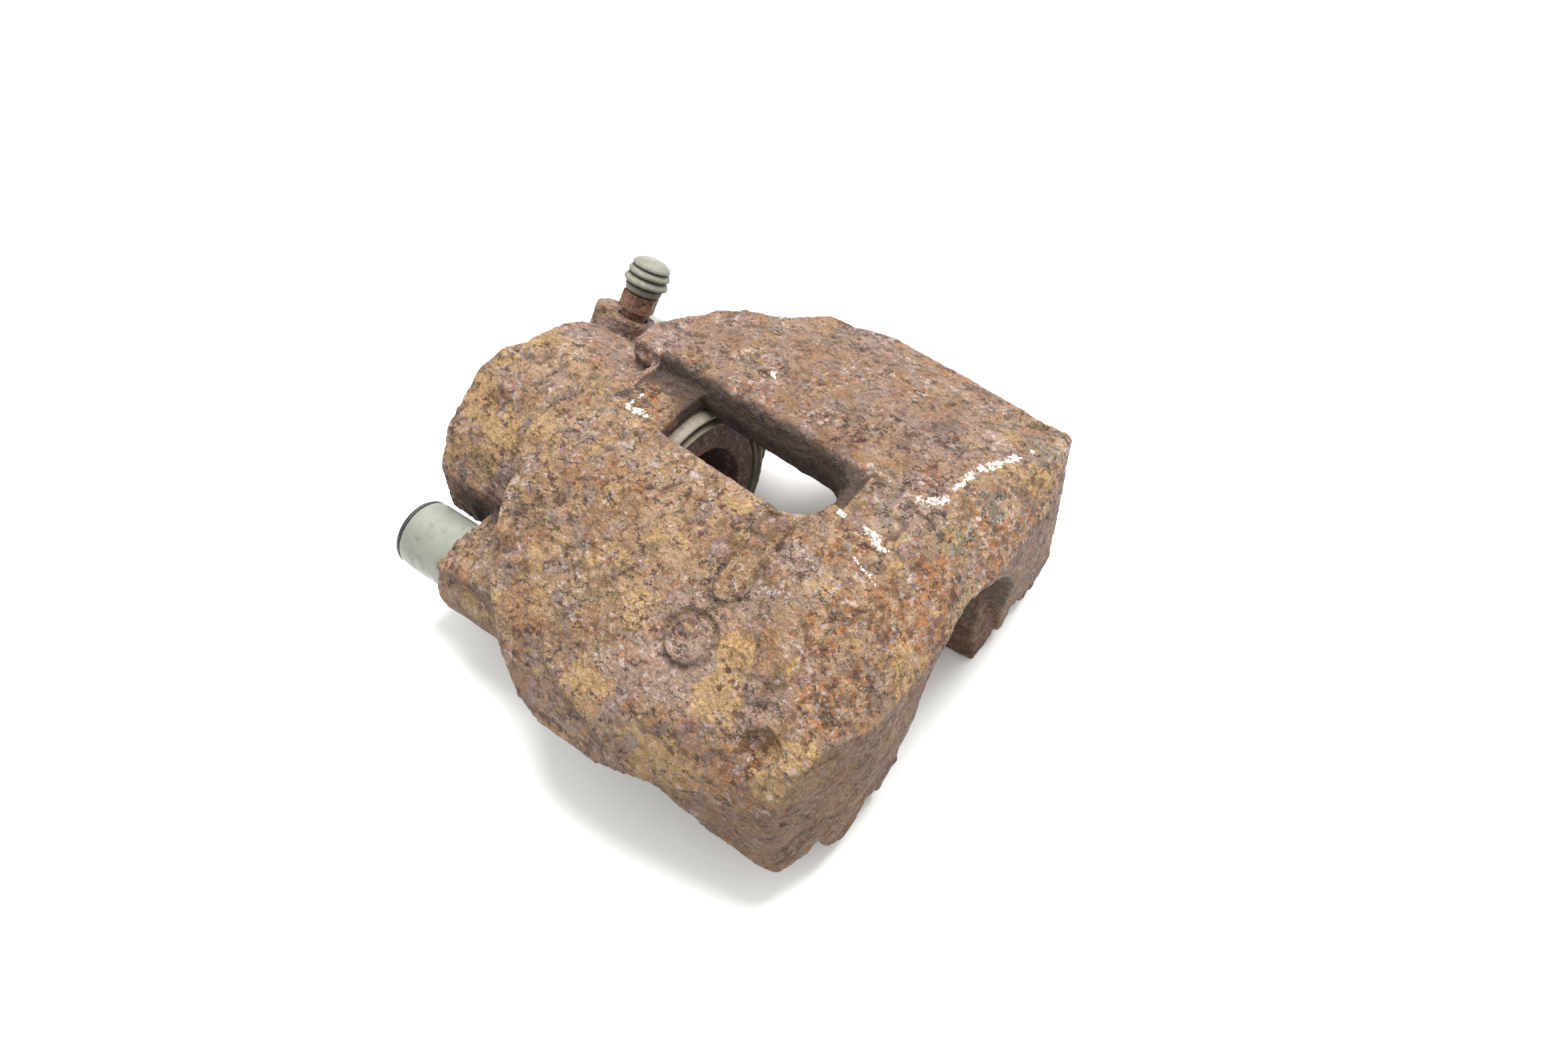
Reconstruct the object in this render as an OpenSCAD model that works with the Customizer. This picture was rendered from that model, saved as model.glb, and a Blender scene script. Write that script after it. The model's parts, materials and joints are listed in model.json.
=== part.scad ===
// Floating brake caliper: single-piston cast housing with piston, seal, dust boot,
// bleed screw, and two guide bushes with pins and end caps.
// Frame: origin at the centre of the piston rim on the bore axis, +Y towards the
// fingers (outboard), +Z away from the disc centre, +X along the disc's edge.

/* [Bore and piston] */
// piston outer diameter
piston_d = 57; // [48:0.5:60]
// piston length
piston_l = 55; // [45:1:60]
// diameter of the cup inside the piston
cup_d = 40; // [30:1:46]
// depth of the cup
cup_depth = 46; // [30:1:50]
// radial running clearance of the piston in its bore
bore_gap = 0.05; // [0.02:0.01:0.1]
// distance from the piston rim to the bottom of the bore
bore_depth = 62; // [56:1:66]
// distance from the piston rim back to the mouth of the cylinder
mouth_back = 3.5; // [0:0.5:5]

/* [Cylinder] */
// outer radius of the cylinder barrel
barrel_r = 36; // [33:0.5:40]
// distance from the piston rim to the closed inboard end
barrel_back = 69; // [64:1:76]
// outer radius of the collar round the mouth
collar_r = 39.5; // [36:0.5:43]
// length of the collar
collar_l = 21; // [10:1:30]

/* [Bridge] */
// distance from the bore axis down to the disc axis
disc_drop = 118; // [100:1:130]
// outer radius of the bridge about the disc axis
bridge_r = 160; // [150:1:170]
// thickness of the bridge
bridge_t = 12; // [8:0.5:16]
// half width of the inspection window
window_hw = 9.2; // [6:0.1:16]
// distance from the piston rim to the far end of the window
window_end = 52.5; // [40:0.5:60]
// height of the underside of the arm roots above the bore axis
root_z = 4; // [2:0.5:10]

/* [Fingers] */
// distance from the piston rim to the machined face of the fingers
finger_face = 67; // [60:1:74]
// distance from the piston rim to the outboard skin
outboard_y = 98; // [90:1:104]
// radius of the round gap between the fingers
gap_r = 26; // [24:0.5:34]
// half width of the gap at the finger tips
gap_mouth_hw = 21; // [16:1:28]
// height of the resting plane below the bore axis
rest_drop = 36; // [32:0.5:40]

/* [Guides] */
// distance from the bore axis to the near guide axis
guide_x = 55; // [50:0.5:72]
// distance from the bore axis to the far guide axis
guide_far_x = 49; // [48:0.5:72]
// height of the guide axes below the bore axis
guide_drop = 3.7; // [0:0.1:10]
// outer radius of each ear
ear_r = 14.5; // [13:0.5:18]
// distance from the piston rim to the inboard face of the ears
ear_back = 45; // [40:1:50]
// length of the ears
ear_l = 27; // [20:1:30]
// outer radius of the exposed bush
bush_r = 11.1; // [9:0.1:12]
// distance from the piston rim to the inboard end of the bushes
bush_back = 66.5; // [60:0.5:72]
// shank radius of the guide pins
pin_r = 5.5; // [4.5:0.1:6]
// thread radius of the guide pins
pin_thread_r = 4.5; // [4:0.1:5]
// width across flats of the hexagon socket in each pin
socket_af = 7; // [6:1:8]

/* [Ports] */
// slope of the bleed screw's axis above the +X direction
bleed_angle = 126; // [110:1:150]
// lean of the bleed screw's axis towards the fingers
bleed_tilt = 6; // [0:1:12]
// radius of the bleed thread
bleed_thread_r = 5; // [4:0.1:5]
// width across flats of the bleed screw
bleed_af = 11; // [8:1:12]
// radius of the hose thread
hose_r = 5; // [4.5:0.1:5.5]

/* [Hidden] */
$fn = 96;
piston_r = piston_d / 2;
bore_r = piston_r + bore_gap;
end_y = -barrel_back;
mouth_y = -mouth_back;
ear_y = -ear_back;
guide_z = -guide_drop;
disc_z = -disc_drop;
rest_z = -rest_drop;
slack = 0.05;
over = 1;
tall = 120;

// seal groove and dust boot seat in the bore
groove_y = -17;
groove_w = 4.2;
groove_r = 32;
seat_depth = 7;
seat_r = 34.2;
ring_t = 0.8;
flange_t = 1.6;
rim_chamfer = 1.2;
boot_groove_y = -6;
boot_groove_w = 3;
boot_groove_d = 1.6;

// half plan outlines of the crest of the bridge, from the valley round to the outboard edge
crest_edge = [
    [76, 12], [80, 22], [82.5, 35], [83, 56], [81, 68], [77, 81], [69, 87.5], [57, 93.5], [44, 97.5], [0, 98]];
near_crest = concat([[0, -4], [3, -4], [3, -22], [16, -35], [27, -35.5], [39, -30], [48, -22], [53, -13],
    [61, -4], [70, 3]], crest_edge);
far_crest = concat([[0, -4], [3, -4], [3, -22], [16, -33], [27, -33.5], [39, -27.5], [48, -19], [53, -11],
    [61, -3], [70, 4]], crest_edge);
// half plan outlines of the skirt, where the sides spread towards the pads
skirt_edge = [
    [83, 5], [87, 20], [87, 38], [85, 56], [82.5, 68], [81, 80], [75.5, 87], [64.5, 91], [55.5, 94],
    [44, 97.5], [0, 98]];
near_skirt = concat([[0, -4], [3, -4], [3, -20], [20, -31], [46, -28], [58, -22], [70, -13], [78, -4]], skirt_edge);
far_skirt = concat([[0, -4], [3, -4], [3, -20], [20, -30], [46, -25], [52, -20], [61, -7], [73, -1]], skirt_edge);
// how the sides slope out from crest to skirt, as x and z
side_slope = [
    [0, 60], [52, 60], [66, 31], [73, 24.5], [79, 17], [84, 7.5], [87, -2], [88, -12], [88, -60], [0, -60]];
// where each arm's side rounds over, the way that line leans and rises, and the profile out from it and up
arm_round_at = [79.5, 24, 21];
arm_round_lean = 10.4;
arm_round_rise = 5.4;
arm_round = [
    [-200, -80], [-200, 100], [-125, 100], [-4.3, 3.6], [0.7, -1.5], [4.7, -7.5], [7.3, -15], [9, -26],
    [10.5, -40], [10.5, -80]];
// side profile that rounds the bridge over into the outboard face, as y and z
roll_over = [
    [-50, -40], [-50, 70], [66, 70], [78, 43.5], [86, 38], [94, 31], [98, 24],
    [97.5, 5], [93.5, -16], [90, -40]];
// half outline of the finger plate, as x and z
finger_side = [
    [0, 60], [80, 60], [82, 10], [80.5, -4], [77, -16.5], [74, -19.5], [66, -18],
    [62.5, -14], [60.5, -21], [56, -28], [53, -30.5],
    [46, -31], [42, -24], [37, -24], [33, -36], [21, -36], [21, -15], [0, -15]];
collar_flat_z = 38.7;
flare_y = 89;
flare_mid = [24.5, -4];
flare_low = [36, -40];

// rim that hangs from each arm's side and runs down into the finger plate, as y and z
side_rim = [[42, 16], [42, 7], [56, 4.5], [68.5, -4], [68.5, 16]];
side_rim_in = 69;

// raised valley edge chamfer, as half width and height
valley_edge = [[0, 20], [window_hw, 20], [window_hw, 36], [14, 45], [14, 60], [0, 60]];
valley_back = -45;
valley_skew = 4;

// hose block on the inboard end, as x and z
hose_block = [[-8, 20], [-6, 31], [6, 36.5], [16, 36], [33, 25], [41, 13], [41.5, -4], [36, -14], [10, -14]];
hose_block_l = 30;
block_chamfer = 5;
hose_x = 34;
hose_z = 10;
hose_depth = 13;
hose_feed_y = -59;
feed_r = 2;

// web that joins each ear to its arm, as y and z
ear_web = [[-45, 9.5], [-27, 13], [-10, 18], [-2, 22], [-2, 4], [-18, 4], [-18, -10], [-45, -10]];
root_y = -3;
ear_web_in = 33;
ear_web_w = 11.5;
dimple_r = 6.5;
dimple = [68, 78, 29];

// bush, pin and cap, measured from the piston rim
bush_tail_y = -12;
bush_tail_r = 12.6;
bush_core_r = 10.6;
bush_pin_gap = 0.05;
cap_seat_r = 7.2;
cap_seat_l = 5;
cap_t = 2.2;
cap_gap = 0.1;
cap_plug_l = 2.4;
pin_tail_y = -60;
pin_shank_end = -10;
pin_tip_y = 6;
pin_chamfer = 1;
socket_depth = 7;

// bleed screw, measured outwards along its axis from a foot inside the bore
bleed_foot = [-13.4, -62.2, -14.6];
feed_start = 20;
boss_start = 24;
boss_r = 8.3;
boss_lobe_r = 7.5;
boss_lobe_off = 6;
boss_top = 44.5;
screw_tip = 29;
screw_seat = 32;
hex_low = 47.2;
hex_high = 52.8;
nipple_r = 3.4;
barb_r = 4.1;
barb_low = 57.5;
nipple_top = 61.5;
drill_r = 1.1;
neck_r = 4.4;
bleedcap_low = 53.2;
bleedcap_top = 65;
bleedcap_r = 6.6;
bleedcap_rib_r = 7.6;
bleedcap_bore_r = 4.4;
rib_pitch = 3.5;
rib_w = 2;
rib_count = 3;

// a cylinder along +Y from y0 to y1
module y_rod(r, y0, y1) {
    translate([0, y0, 0]) rotate([-90, 0, 0]) cylinder(r = r, h = y1 - y0);
}

// a tube along +Y from y0 to y1
module y_tube(r_out, r_in, y0, y1) {
    difference() {
        y_rod(r_out, y0, y1);
        y_rod(r_in, y0 - over, y1 + over);
    }
}

// extrudes an outline given as x and z along +Y
module y_prism(y0, y1) {
    translate([0, y1, 0]) rotate([90, 0, 0]) linear_extrude(y1 - y0) children();
}

// extrudes an outline given as y and z along +X
module x_prism(x0, x1) {
    translate([x0, 0, 0]) rotate([90, 0, 90]) linear_extrude(x1 - x0) children();
}

module both_sides() {
    children();
    mirror([1, 0, 0]) children();
}

// moves to the bleed screw's axis, with +Z running out along it
module bleed_place() {
    translate(bleed_foot) rotate([-bleed_tilt, 90 - bleed_angle, 0]) children();
}

// puts its children on the near guide axis
module near_guide() {
    translate([guide_x, 0, guide_z]) children();
}

// puts a mirrored copy of its children on the far guide axis
module far_guide() {
    mirror([1, 0, 0]) translate([guide_far_x, 0, guide_z]) children();
}

// solid about the disc axis, out to the bridge's outer skin
module under_bridge(y0, y1) {
    translate([0, 0, disc_z]) y_rod(bridge_r, y0, y1, $fn = 256);
}

module bridge_shell() {
    intersection() {
        difference() {
            under_bridge(valley_back, outboard_y);
            translate([0, 0, disc_z]) y_rod(bridge_r - bridge_t, valley_back - over, outboard_y + over, $fn = 256);
        }
        plan_block(-over);
    }
}

// a plan from its near half and its far half
module plan(near, far) {
    polygon(near);
    mirror([1, 0, 0]) polygon(far);
}

// everything inside the plan outline, sloped at the sides, from height z0 upwards
module plan_block(z0 = 0) {
    intersection() {
        union() {
            translate([0, 0, z0]) linear_extrude(tall) plan(near_crest, far_crest);
            intersection() {
                translate([0, 0, z0]) linear_extrude(tall) plan(near_skirt, far_skirt);
                y_prism(valley_back, outboard_y) both_sides() polygon(side_slope);
            }
        }
        arm_side();
        mirror([1, 0, 0]) arm_side();
    }
}

// everything inside the rounded side of the near arm
module arm_side() {
    translate(arm_round_at) rotate([arm_round_rise, 0, arm_round_lean]) y_prism(-tall, tall) polygon(arm_round);
}

module arm_roots() {
    intersection() {
        under_bridge(valley_back, root_y);
        plan_block(root_z);
    }
}

module side_rims() {
    intersection() {
        under_bridge(valley_back, outboard_y);
        both_sides() x_prism(side_rim_in, tall) polygon(side_rim);
        plan_block(rest_z - over);
    }
}

module finger_plate() {
    intersection() {
        under_bridge(finger_face, outboard_y);
        y_prism(finger_face, outboard_y) both_sides() polygon(finger_side);
        plan_block(rest_z - over);
    }
}

module finger_gap() {
    y_rod(gap_r, finger_face - over, outboard_y + over);
    translate([-gap_mouth_hw, finger_face - over, rest_z - over])
        cube([2 * gap_mouth_hw, outboard_y - finger_face + 2 * over, rest_drop - gap_mouth_hw / 2]);
    y_prism(flare_y, outboard_y + over)
        both_sides() polygon([[0, flare_mid[1]], flare_mid, flare_low, [0, flare_low[1]]]);
}

// the window and the valley inboard of it, cut about the centre of the window's round end
module bridge_window() {
    translate([0, window_end - window_hw, 0]) rotate([0, 0, -valley_skew]) {
        y_prism(valley_back - window_end, 0) both_sides() polygon(valley_edge);
        cylinder(r = window_hw, h = tall);
        translate([0, 0, valley_edge[2][1]])
            cylinder(r1 = window_hw, r2 = valley_edge[3][0], h = valley_edge[3][1] - valley_edge[2][1]);
    }
}

module bridge() {
    difference() {
        intersection() {
            union() {
                bridge_shell();
                arm_roots();
                side_rims();
                finger_plate();
            }
            x_prism(-tall, tall) polygon(roll_over);
        }
        bridge_window();
        finger_gap();
        both_sides() translate(dimple) sphere(dimple_r);
    }
}

module barrel() {
    y_rod(barrel_r, end_y + block_chamfer, mouth_y);
    translate([0, end_y, 0]) rotate([-90, 0, 0])
        cylinder(r1 = barrel_r - block_chamfer, r2 = barrel_r, h = block_chamfer);
    intersection() {
        y_rod(collar_r, mouth_y - collar_l, mouth_y);
        translate([-tall / 2, -tall / 2, rest_z]) cube([tall, tall, collar_flat_z - rest_z]);
    }
}

module hose_boss() {
    y_prism(end_y, end_y + hose_block_l) polygon(hose_block);
}

module ear_webs() {
    intersection() {
        union() {
            x_prism(ear_web_in, guide_x + ear_web_w) polygon(ear_web);
            mirror([1, 0, 0]) x_prism(ear_web_in, guide_far_x + ear_web_w) polygon(ear_web);
        }
        under_bridge(ear_y, 0);
    }
}

module ears() {
    near_guide() y_rod(ear_r, ear_y, ear_y + ear_l);
    far_guide() y_rod(ear_r, ear_y, ear_y + ear_l);
    ear_webs();
}

module bleed_boss() {
    bleed_place() translate([0, 0, boss_start]) {
        cylinder(r = boss_r, h = boss_top - boss_start);
        translate([0, -boss_lobe_off, 0]) cylinder(r = boss_lobe_r, h = boss_top - boss_start);
    }
}

module bore_cuts() {
    y_rod(bore_r, -bore_depth, over);
    y_rod(groove_r, groove_y, groove_y + groove_w);
    y_rod(seat_r, mouth_y - seat_depth, over);
}

module port_cuts() {
    bleed_place() {
        translate([0, 0, feed_start]) cylinder(r = feed_r, h = boss_top - feed_start);
        translate([0, 0, screw_seat]) cylinder(r = bleed_thread_r, h = boss_top - screw_seat + over);
    }
    translate([hose_x, 0, hose_z]) y_rod(hose_r, end_y - over, end_y + hose_depth);
    translate([hose_x, 0, hose_z]) rotate([0, 90 - atan2(hose_z, hose_x), 0])
        translate([0, hose_feed_y, -hose_x]) cylinder(r = feed_r, h = hose_x);
}

module guide_cut() {
    y_rod(bush_core_r + slack, ear_y - over, ear_y + ear_l + over);
    y_rod(bush_tail_r + over, ear_y + ear_l, bush_tail_y + over);
}

module caliper_housing() {
    color("#8a6a4c") difference() {
        union() {
            bridge();
            barrel();
            hose_boss();
            bleed_boss();
            ears();
        }
        bore_cuts();
        port_cuts();
        near_guide() guide_cut();
        far_guide() guide_cut();
    }
}

module piston() {
    color("#7a5e50") difference() {
        union() {
            y_rod(piston_r, -piston_l + rim_chamfer, -rim_chamfer);
            translate([0, -rim_chamfer, 0]) rotate([-90, 0, 0])
                cylinder(r1 = piston_r, r2 = piston_r - rim_chamfer, h = rim_chamfer);
            translate([0, -piston_l, 0]) rotate([-90, 0, 0])
                cylinder(r1 = piston_r - rim_chamfer, r2 = piston_r, h = rim_chamfer);
        }
        y_rod(cup_d / 2, -cup_depth, over);
        y_tube(piston_r + over, piston_r - boot_groove_d, boot_groove_y, boot_groove_y + boot_groove_w);
    }
}

module piston_seal() {
    color("#262626") y_tube(groove_r - slack, piston_r + slack, groove_y + slack, groove_y + groove_w - slack);
}

// profile of the boot as radius and distance along the bore
module dust_boot() {
    wall_r = seat_r - ring_t - slack;
    back_y = mouth_y - seat_depth + slack;
    color("#a9a48f") rotate([-90, 0, 0]) rotate_extrude() polygon([
        [piston_r + slack, boot_groove_y], [piston_r + slack, -rim_chamfer],
        [piston_r + flange_t, 0], [wall_r - flange_t, 0], [wall_r - slack, -rim_chamfer],
        [wall_r - slack, back_y + ring_t], [wall_r - flange_t, back_y + ring_t],
        [wall_r - flange_t, boot_groove_y + flange_t], [piston_r + flange_t, boot_groove_y + flange_t],
        [piston_r + flange_t, boot_groove_y]]);
}

module boot_ring() {
    back_y = mouth_y - seat_depth;
    color("#3c3c3c") {
        y_tube(seat_r - slack, seat_r - ring_t, back_y, mouth_y);
        y_tube(seat_r - slack, seat_r - 2 * flange_t, back_y, back_y + ring_t);
    }
}

module bleed_screw() {
    color("#6b5140") bleed_place() difference() {
        union() {
            translate([0, 0, screw_tip]) cylinder(r = feed_r - bore_gap, h = screw_seat - screw_tip + over);
            translate([0, 0, screw_seat + slack])
                cylinder(r = bleed_thread_r - bore_gap, h = boss_top - screw_seat - slack);
            translate([0, 0, boss_top - over]) cylinder(r = neck_r, h = hex_low - boss_top + 2 * over);
            translate([0, 0, hex_low]) cylinder(d = bleed_af / cos(30), h = hex_high - hex_low, $fn = 6);
            translate([0, 0, hex_high - over]) cylinder(r = nipple_r, h = nipple_top - hex_high + over);
            translate([0, 0, barb_low]) cylinder(r1 = nipple_r, r2 = barb_r, h = over);
            translate([0, 0, barb_low + over]) cylinder(r1 = barb_r, r2 = nipple_r, h = 2 * over);
        }
        translate([0, 0, screw_seat + over]) cylinder(r = drill_r, h = nipple_top);
    }
}

module bleed_cap() {
    color("#8f9184") bleed_place() difference() {
        union() {
            translate([0, 0, bleedcap_low]) cylinder(r = bleedcap_r, h = bleedcap_top - bleedcap_low - over);
            translate([0, 0, bleedcap_top - over]) cylinder(r1 = bleedcap_r, r2 = bleedcap_r - 2 * over, h = over);
            for (i = [0 : rib_count - 1])
                translate([0, 0, bleedcap_low + i * rib_pitch]) cylinder(r = bleedcap_rib_r, h = rib_w);
        }
        translate([0, 0, bleedcap_low - over])
            cylinder(r = bleedcap_bore_r, h = nipple_top - bleedcap_low + 2 * over);
    }
}

module guide_bush() {
    color("#a9aa9c") difference() {
        union() {
            y_rod(bush_r, -bush_back, ear_y - slack);
            y_rod(bush_core_r, ear_y - over, ear_y + ear_l + over);
            y_rod(bush_tail_r, ear_y + ear_l + slack, bush_tail_y);
        }
        y_rod(pin_r + bush_pin_gap, -bush_back - over, bush_tail_y + over);
        y_rod(cap_seat_r, -bush_back - over, -bush_back + cap_seat_l);
    }
}

module guide_pin() {
    color("#83807a") difference() {
        union() {
            y_rod(pin_r, pin_tail_y, pin_shank_end);
            y_rod(pin_thread_r, pin_shank_end - over, pin_tip_y - pin_chamfer);
            translate([0, pin_tip_y - pin_chamfer, 0]) rotate([-90, 0, 0])
                cylinder(r1 = pin_thread_r, r2 = pin_thread_r - pin_chamfer, h = pin_chamfer);
        }
        translate([0, pin_tail_y - over, 0]) rotate([-90, 0, 0])
            cylinder(d = socket_af / cos(30), h = socket_depth + over, $fn = 6);
    }
}

module guide_cap() {
    color("#4a4d4c") {
        y_rod(bush_r - slack, -bush_back - cap_t - slack, -bush_back - slack);
        y_rod(cap_seat_r - cap_gap, -bush_back - over, -bush_back + cap_plug_l);
    }
}

module guide_bush_near() { near_guide() guide_bush(); }
module guide_bush_far() { far_guide() guide_bush(); }
module guide_pin_near() { near_guide() guide_pin(); }
module guide_pin_far() { far_guide() guide_pin(); }
module guide_cap_near() { near_guide() guide_cap(); }
module guide_cap_far() { far_guide() guide_cap(); }

caliper_housing();
piston();
piston_seal();
dust_boot();
boot_ring();
bleed_screw();
bleed_cap();
guide_bush_near();
guide_bush_far();
guide_pin_near();
guide_pin_far();
guide_cap_near();
guide_cap_far();
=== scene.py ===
"""Looks of a used, rusty brake caliper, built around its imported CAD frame.

Lengths written in millimetres are scaled by MM.
"""

import itertools
import json
import math

import bmesh
import bpy
import numpy as np
from mathutils import Matrix, Vector
from mathutils.bvhtree import BVHTree


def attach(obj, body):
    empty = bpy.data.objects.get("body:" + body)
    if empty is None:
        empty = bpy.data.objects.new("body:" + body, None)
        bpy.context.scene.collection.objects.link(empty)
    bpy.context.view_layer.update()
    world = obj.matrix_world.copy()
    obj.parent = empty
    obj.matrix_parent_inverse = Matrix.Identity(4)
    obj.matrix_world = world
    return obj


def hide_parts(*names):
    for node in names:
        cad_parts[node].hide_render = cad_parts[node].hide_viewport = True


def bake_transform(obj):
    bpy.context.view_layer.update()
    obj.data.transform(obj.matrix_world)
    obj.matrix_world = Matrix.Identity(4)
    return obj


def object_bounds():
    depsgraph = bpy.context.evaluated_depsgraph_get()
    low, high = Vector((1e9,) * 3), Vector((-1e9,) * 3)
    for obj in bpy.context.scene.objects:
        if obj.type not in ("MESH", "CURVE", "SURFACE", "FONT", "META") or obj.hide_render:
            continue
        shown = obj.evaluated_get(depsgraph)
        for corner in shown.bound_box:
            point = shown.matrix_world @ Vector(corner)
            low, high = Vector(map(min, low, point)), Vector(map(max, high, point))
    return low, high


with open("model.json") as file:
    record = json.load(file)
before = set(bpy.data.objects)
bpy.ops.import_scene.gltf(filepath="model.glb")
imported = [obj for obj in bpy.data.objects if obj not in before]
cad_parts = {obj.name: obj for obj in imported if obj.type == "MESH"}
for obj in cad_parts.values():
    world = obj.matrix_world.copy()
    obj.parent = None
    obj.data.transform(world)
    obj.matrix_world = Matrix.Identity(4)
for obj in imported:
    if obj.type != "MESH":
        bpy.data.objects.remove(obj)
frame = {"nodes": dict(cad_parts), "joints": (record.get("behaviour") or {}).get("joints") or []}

CAD_BOX = [list(corner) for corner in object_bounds()]
MM = 0.001
NODES = frame["nodes"]
JOINTS = {joint["name"]: joint for joint in frame["joints"]}
LOW = CAD_BOX[0]

# ---------------------------------------------------------------- sizes, in millimetres

BORE_R = 28.55
PISTON_R = 28.5
PISTON_LENGTH = 55.0
CUP_R = 20.0
CUP_DEPTH = 46.0
MOUTH_Y = -3.5
BORE_END_Y = -62.0
SEAT_R = 34.2
SEAT_Y = -10.5
GROOVE_R = 32.0
GROOVE_Y = (-17.0, -12.8)
FINGER_Y = 67.0
GAP_R = 26.0
COLLAR_FLAT_Z = 38.7
GUIDE_X = {"near": 55.0, "far": -49.0}
GUIDE_Z = -3.7
GUIDE_HOLE_R = 10.65
EAR_Y = (-45.0, -18.0)
HOSE = (34.0, 10.0)
HOSE_R = 5.0
HOSE_RUN = (-70.0, -55.0)
BLEED_HOLE_R = 5.08
BLEED_HOLE_RUN = (31.0, 46.0)
MOUTH_RING_R = 38.5
COLLAR_FLAT = (7.0, -20.0, -6.0)
TOOLED_SKIN = 0.9
TRUED = 0.75
BRIDGE_R = 160.0
WINDOW_END = 52.5
WINDOW_HW = 9.2
VALLEY_SKEW = 4.0


# ---------------------------------------------------------------- random fields

def hashed(cell, seed):
    """A repeatable random number from 0 to 1 for each whole-number cell."""
    h = cell[..., 0] * 73856093 ^ cell[..., 1] * 19349663 ^ cell[..., 2] * 83492791 ^ seed * 2654435761
    h = (h ^ (h >> 13)) * 1274126177 & 0xFFFFFFFF
    return ((h ^ (h >> 16)) & 0xFFFFFF) / 0xFFFFFF


def noise(points, size, seed=0):
    """Smooth noise from -1 to 1 whose lumps are about size across."""
    cell = np.floor(points / size).astype(np.int64)
    part = points / size - cell
    part = part * part * part * (part * (part * 6 - 15) + 10)
    total = np.zeros(len(points))
    for corner in itertools.product((0, 1), repeat=3):
        weight = np.prod(np.where(corner, part, 1 - part), axis=1)
        total += weight * hashed(cell + np.array(corner), seed)
    return total * 2 - 1


def layered(points, size, seed=0, layers=3):
    """Noise with finer noise on top of it, about -1 to 1."""
    total = sum(noise(points, size / 2**i, seed + i) / 2**i for i in range(layers))
    return total / (2 - 2 ** (1 - layers))


def step(low, high, x):
    """Rises smoothly from 0 to 1 as x goes from low to high."""
    t = np.clip((x - low) / (high - low), 0, 1)
    return t * t * (3 - 2 * t)


# ---------------------------------------------------------------- meshes

def new_object(name, points, faces):
    mesh = bpy.data.meshes.new(name)
    mesh.from_pydata([tuple(p) for p in points], [], faces)
    mesh.validate()
    obj = bpy.data.objects.new(name, mesh)
    bpy.context.scene.collection.objects.link(obj)
    return obj


def shade(obj, angle=38):
    """Smooth shading with the edges sharper than angle kept crisp."""
    obj.data.polygons.foreach_set("use_smooth", [True] * len(obj.data.polygons))
    obj.data.set_sharp_from_angle(angle=math.radians(angle))


def along(origin, axis):
    """The matrix that stands a turned piece's own axis, Z, on an axis in the frame."""
    turn = Vector(axis).normalized().to_track_quat("Z", "X").to_matrix().to_4x4()
    return Matrix.Translation(Vector(origin)) @ turn


def rounded(profile, radius, steps=4):
    """A closed profile of (radius, height) points with its corners rounded."""
    out = []
    count = len(profile)
    for i, here in enumerate(profile):
        here = np.array(here[:2], float)
        before = np.array(profile[i - 1][:2], float)
        after = np.array(profile[(i + 1) % count][:2], float)
        cut = profile[i][2] if len(profile[i]) > 2 else radius
        cut = min(cut, 0.45 * np.linalg.norm(before - here), 0.45 * np.linalg.norm(after - here))
        if here[0] == 0 or cut == 0:
            out.append(here)
            continue
        start = here + (before - here) / np.linalg.norm(before - here) * cut
        end = here + (after - here) / np.linalg.norm(after - here) * cut
        for k in range(steps + 1):
            t = k / steps
            out.append(start * (1 - t) ** 2 + here * 2 * t * (1 - t) + end * t**2)
    return out


def refined(profile, longest):
    """The same closed profile with no stretch longer than longest."""
    out = []
    for a, b in zip(profile, profile[1:] + profile[:1]):
        a, b = np.array(a, float), np.array(b, float)
        pieces = max(1, math.ceil(np.linalg.norm(b - a) / longest))
        out += [a + (b - a) * k / pieces for k in range(pieces)]
    return out


def turned(name, profile, place, segments=96, shape=None):
    """A solid of revolution from a closed profile of (radius, height) points, in millimetres.

    shape(radius, height, angle) may change each point's radius, for a hexagon or a thread.
    """
    angles = [2 * math.pi * k / segments for k in range(segments)]
    points, rings = [], []
    for radius, height in profile:
        if radius < 1e-6:
            rings.append([len(points)] * segments)
            points.append(Vector((0, 0, height)))
            continue
        rings.append(list(range(len(points), len(points) + segments)))
        for angle in angles:
            r = shape(radius, height, angle) if shape else radius
            points.append(Vector((r * math.cos(angle), r * math.sin(angle), height)))
    faces = []
    for lower, upper in zip(rings, rings[1:] + rings[:1]):
        if lower[0] == lower[1] and upper[0] == upper[1]:
            continue
        for k in range(segments):
            n = (k + 1) % segments
            face = list(dict.fromkeys((lower[k], lower[n], upper[n], upper[k])))
            if len(face) > 2:
                faces.append(face)
    obj = new_object(name, [place @ (p * MM) for p in points], faces)
    bm = bmesh.new()
    bm.from_mesh(obj.data)
    bmesh.ops.recalc_face_normals(bm, faces=bm.faces)
    bm.to_mesh(obj.data)
    bm.free()
    return obj


def positions(mesh):
    co = np.empty(len(mesh.vertices) * 3, np.float32)
    mesh.vertices.foreach_get("co", co)
    return co.reshape(-1, 3).astype(float)


def normals(mesh):
    no = np.empty(len(mesh.vertices) * 3, np.float32)
    mesh.vertices.foreach_get("normal", no)
    return no.reshape(-1, 3).astype(float)


def set_positions(mesh, points):
    mesh.vertices.foreach_set("co", points.astype(np.float32).ravel())
    mesh.update()


def paint(mesh, name, values):
    """Stores a number per vertex for the materials."""
    attribute = mesh.attributes.get(name) or mesh.attributes.new(name, "FLOAT", "POINT")
    attribute.data.foreach_set("value", np.clip(values, 0, 1).astype(np.float32))


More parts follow.
